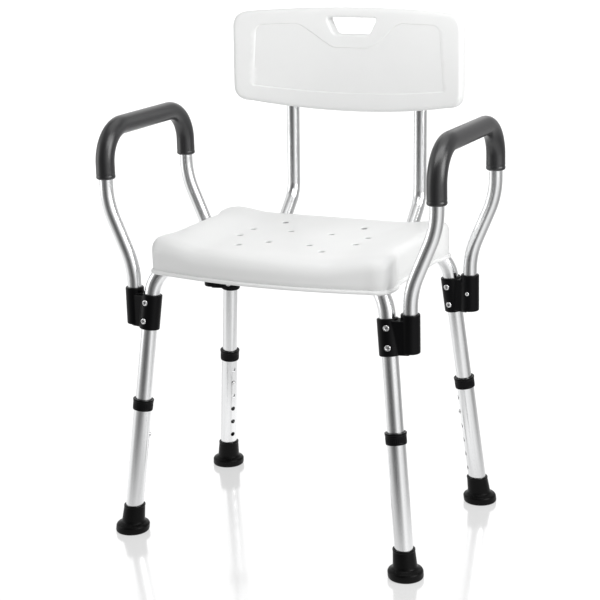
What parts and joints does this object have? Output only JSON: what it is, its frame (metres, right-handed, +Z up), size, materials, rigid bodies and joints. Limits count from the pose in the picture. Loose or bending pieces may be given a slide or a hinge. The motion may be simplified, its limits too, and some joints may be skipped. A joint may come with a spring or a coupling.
{
  "type": "shower chair",
  "caption": "Height-adjustable shower chair: drained plastic seat with curved backrest, removable armrests with grips, and splayed telescopic legs with rubber feet.",
  "frame": {"origin": "on the floor, below the centre of the bounding box", "axes": "+Z up, the sitter faces -Y, +X to the right as seen from the front"},
  "size_m": [0.5902, 0.4338, 0.8184],
  "materials": {
    "seat_plastic": "satin moulded white polyethylene",
    "tube_aluminium": "satin anodised drawn tube",
    "black_plastic": "fine-grained moulded black plastic",
    "foot_rubber": "matt moulded rubber",
    "grip_foam": "soft dark grey grip, satin skin",
    "fastener_steel": "bright zinc-plated steel"
  },
  "bodies": {
    "frame": {"seat": "seat_plastic", "leg_frame_upper": "tube_aluminium", "leg_frame_lower": "tube_aluminium", "cross_bolt": "fastener_steel", "cross_nut": "fastener_steel", "arm_clamp_front_left": "black_plastic", "clamp_rivet_front_left_lower": "fastener_steel", "clamp_rivet_front_left_upper": "fastener_steel", "seat_screw_front_left": "fastener_steel", "arm_clamp_front_right": "black_plastic", "clamp_rivet_front_right_lower": "fastener_steel", "clamp_rivet_front_right_upper": "fastener_steel", "seat_screw_front_right": "fastener_steel", "arm_clamp_back_left": "black_plastic", "clamp_rivet_back_left_lower": "fastener_steel", "clamp_rivet_back_left_upper": "fastener_steel", "seat_screw_back_left": "fastener_steel", "arm_clamp_back_right": "black_plastic", "clamp_rivet_back_right_lower": "fastener_steel", "clamp_rivet_back_right_upper": "fastener_steel", "seat_screw_back_right": "fastener_steel", "back_socket_left": "black_plastic", "socket_screw_left_a": "fastener_steel", "socket_screw_left_b": "fastener_steel", "back_socket_right": "black_plastic", "socket_screw_right_a": "fastener_steel", "socket_screw_right_b": "fastener_steel"},
    "lower_leg_front_left_body": {"lower_leg_front_left": "tube_aluminium", "leg_collar_front_left": "black_plastic", "foot_front_left": "foot_rubber"},
    "leg_button_front_left_body": {"leg_button_front_left": "fastener_steel"},
    "arm_button_front_left_body": {"arm_button_front_left": "fastener_steel"},
    "lower_leg_front_right_body": {"lower_leg_front_right": "tube_aluminium", "leg_collar_front_right": "black_plastic", "foot_front_right": "foot_rubber"},
    "leg_button_front_right_body": {"leg_button_front_right": "fastener_steel"},
    "arm_button_front_right_body": {"arm_button_front_right": "fastener_steel"},
    "lower_leg_back_left_body": {"lower_leg_back_left": "tube_aluminium", "leg_collar_back_left": "black_plastic", "foot_back_left": "foot_rubber"},
    "leg_button_back_left_body": {"leg_button_back_left": "fastener_steel"},
    "arm_button_back_left_body": {"arm_button_back_left": "fastener_steel"},
    "lower_leg_back_right_body": {"lower_leg_back_right": "tube_aluminium", "leg_collar_back_right": "black_plastic", "foot_back_right": "foot_rubber"},
    "leg_button_back_right_body": {"leg_button_back_right": "fastener_steel"},
    "arm_button_back_right_body": {"arm_button_back_right": "fastener_steel"},
    "armrest_left": {"armrest_tube_left": "tube_aluminium", "armrest_grip_left": "grip_foam"},
    "back_button_left_body": {"back_button_left": "fastener_steel"},
    "armrest_right": {"armrest_tube_right": "tube_aluminium", "armrest_grip_right": "grip_foam"},
    "back_button_right_body": {"back_button_right": "fastener_steel"},
    "backrest_unit": {"backrest": "seat_plastic", "back_tube_left": "tube_aluminium", "back_tube_right": "tube_aluminium", "backrest_screw_left_lower": "fastener_steel", "backrest_screw_left_upper": "fastener_steel", "backrest_screw_right_lower": "fastener_steel", "backrest_screw_right_upper": "fastener_steel"}
  },
  "joints": [
    {"name": "leg_height_front_left", "type": "slide", "parent": "frame", "child": "lower_leg_front_left_body", "axis": [-0.0991, -0.0862, -0.9913], "range_m": [-0.1016, 0.0254], "deforming": ["leg_button_front_left"]},
    {"name": "leg_height_front_right", "type": "slide", "parent": "frame", "child": "lower_leg_front_right_body", "axis": [0.0991, -0.0862, -0.9913], "range_m": [-0.1016, 0.0254], "deforming": ["leg_button_front_right"]},
    {"name": "leg_height_back_left", "type": "slide", "parent": "frame", "child": "lower_leg_back_left_body", "axis": [-0.0991, 0.0862, -0.9913], "range_m": [-0.1016, 0.0254], "deforming": ["leg_button_back_left"]},
    {"name": "leg_height_back_right", "type": "slide", "parent": "frame", "child": "lower_leg_back_right_body", "axis": [0.0991, 0.0862, -0.9913], "range_m": [-0.1016, 0.0254], "deforming": ["leg_button_back_right"]},
    {"name": "armrest_lift_left", "type": "slide", "parent": "frame", "child": "armrest_left", "axis": [0, 0, 1], "range_m": [0, 0.05], "deforming": ["arm_button_front_left", "arm_button_back_left"]},
    {"name": "armrest_lift_right", "type": "slide", "parent": "frame", "child": "armrest_right", "axis": [0, 0, 1], "range_m": [0, 0.05], "deforming": ["arm_button_front_right", "arm_button_back_right"]},
    {"name": "backrest_pull", "type": "slide", "parent": "frame", "child": "backrest_unit", "axis": [0, 1, 0], "range_m": [0, 0.04], "deforming": ["back_button_left", "back_button_right"]},
    {"name": "leg_button_press_front_left", "type": "slide", "parent": "frame", "child": "leg_button_front_left_body", "axis": [0.8328, 0.538, -0.1301], "range_m": [-0.004, 0], "stiffness_N_per_m": 2500, "springref_m": 0.002},
    {"name": "leg_button_press_front_right", "type": "slide", "parent": "frame", "child": "leg_button_front_right_body", "axis": [-0.8328, 0.538, -0.1301], "range_m": [-0.004, 0], "stiffness_N_per_m": 2500, "springref_m": 0.002},
    {"name": "leg_button_press_back_left", "type": "slide", "parent": "frame", "child": "leg_button_back_left_body", "axis": [0.8328, -0.538, -0.1301], "range_m": [-0.004, 0], "stiffness_N_per_m": 2500, "springref_m": 0.002},
    {"name": "leg_button_press_back_right", "type": "slide", "parent": "frame", "child": "leg_button_back_right_body", "axis": [-0.8328, -0.538, -0.1301], "range_m": [-0.004, 0], "stiffness_N_per_m": 2500, "springref_m": 0.002},
    {"name": "arm_button_press_front_left", "type": "slide", "parent": "armrest_left", "child": "arm_button_front_left_body", "axis": [0, 1, 0], "range_m": [-0.0043, 0], "stiffness_N_per_m": 2000, "springref_m": 0.002},
    {"name": "arm_button_press_front_right", "type": "slide", "parent": "armrest_right", "child": "arm_button_front_right_body", "axis": [0, 1, 0], "range_m": [-0.0043, 0], "stiffness_N_per_m": 2000, "springref_m": 0.002},
    {"name": "arm_button_press_back_left", "type": "slide", "parent": "armrest_left", "child": "arm_button_back_left_body", "axis": [0, -1, 0], "range_m": [-0.0043, 0], "stiffness_N_per_m": 2000, "springref_m": 0.002},
    {"name": "arm_button_press_back_right", "type": "slide", "parent": "armrest_right", "child": "arm_button_back_right_body", "axis": [0, -1, 0], "range_m": [-0.0043, 0], "stiffness_N_per_m": 2000, "springref_m": 0.002},
    {"name": "back_button_press_left", "type": "slide", "parent": "backrest_unit", "child": "back_button_left_body", "axis": [0, 0, -1], "range_m": [-0.0045, 0], "stiffness_N_per_m": 2000, "springref_m": 0.002},
    {"name": "back_button_press_right", "type": "slide", "parent": "backrest_unit", "child": "back_button_right_body", "axis": [0, 0, -1], "range_m": [-0.0045, 0], "stiffness_N_per_m": 2000, "springref_m": 0.002}
  ]
}
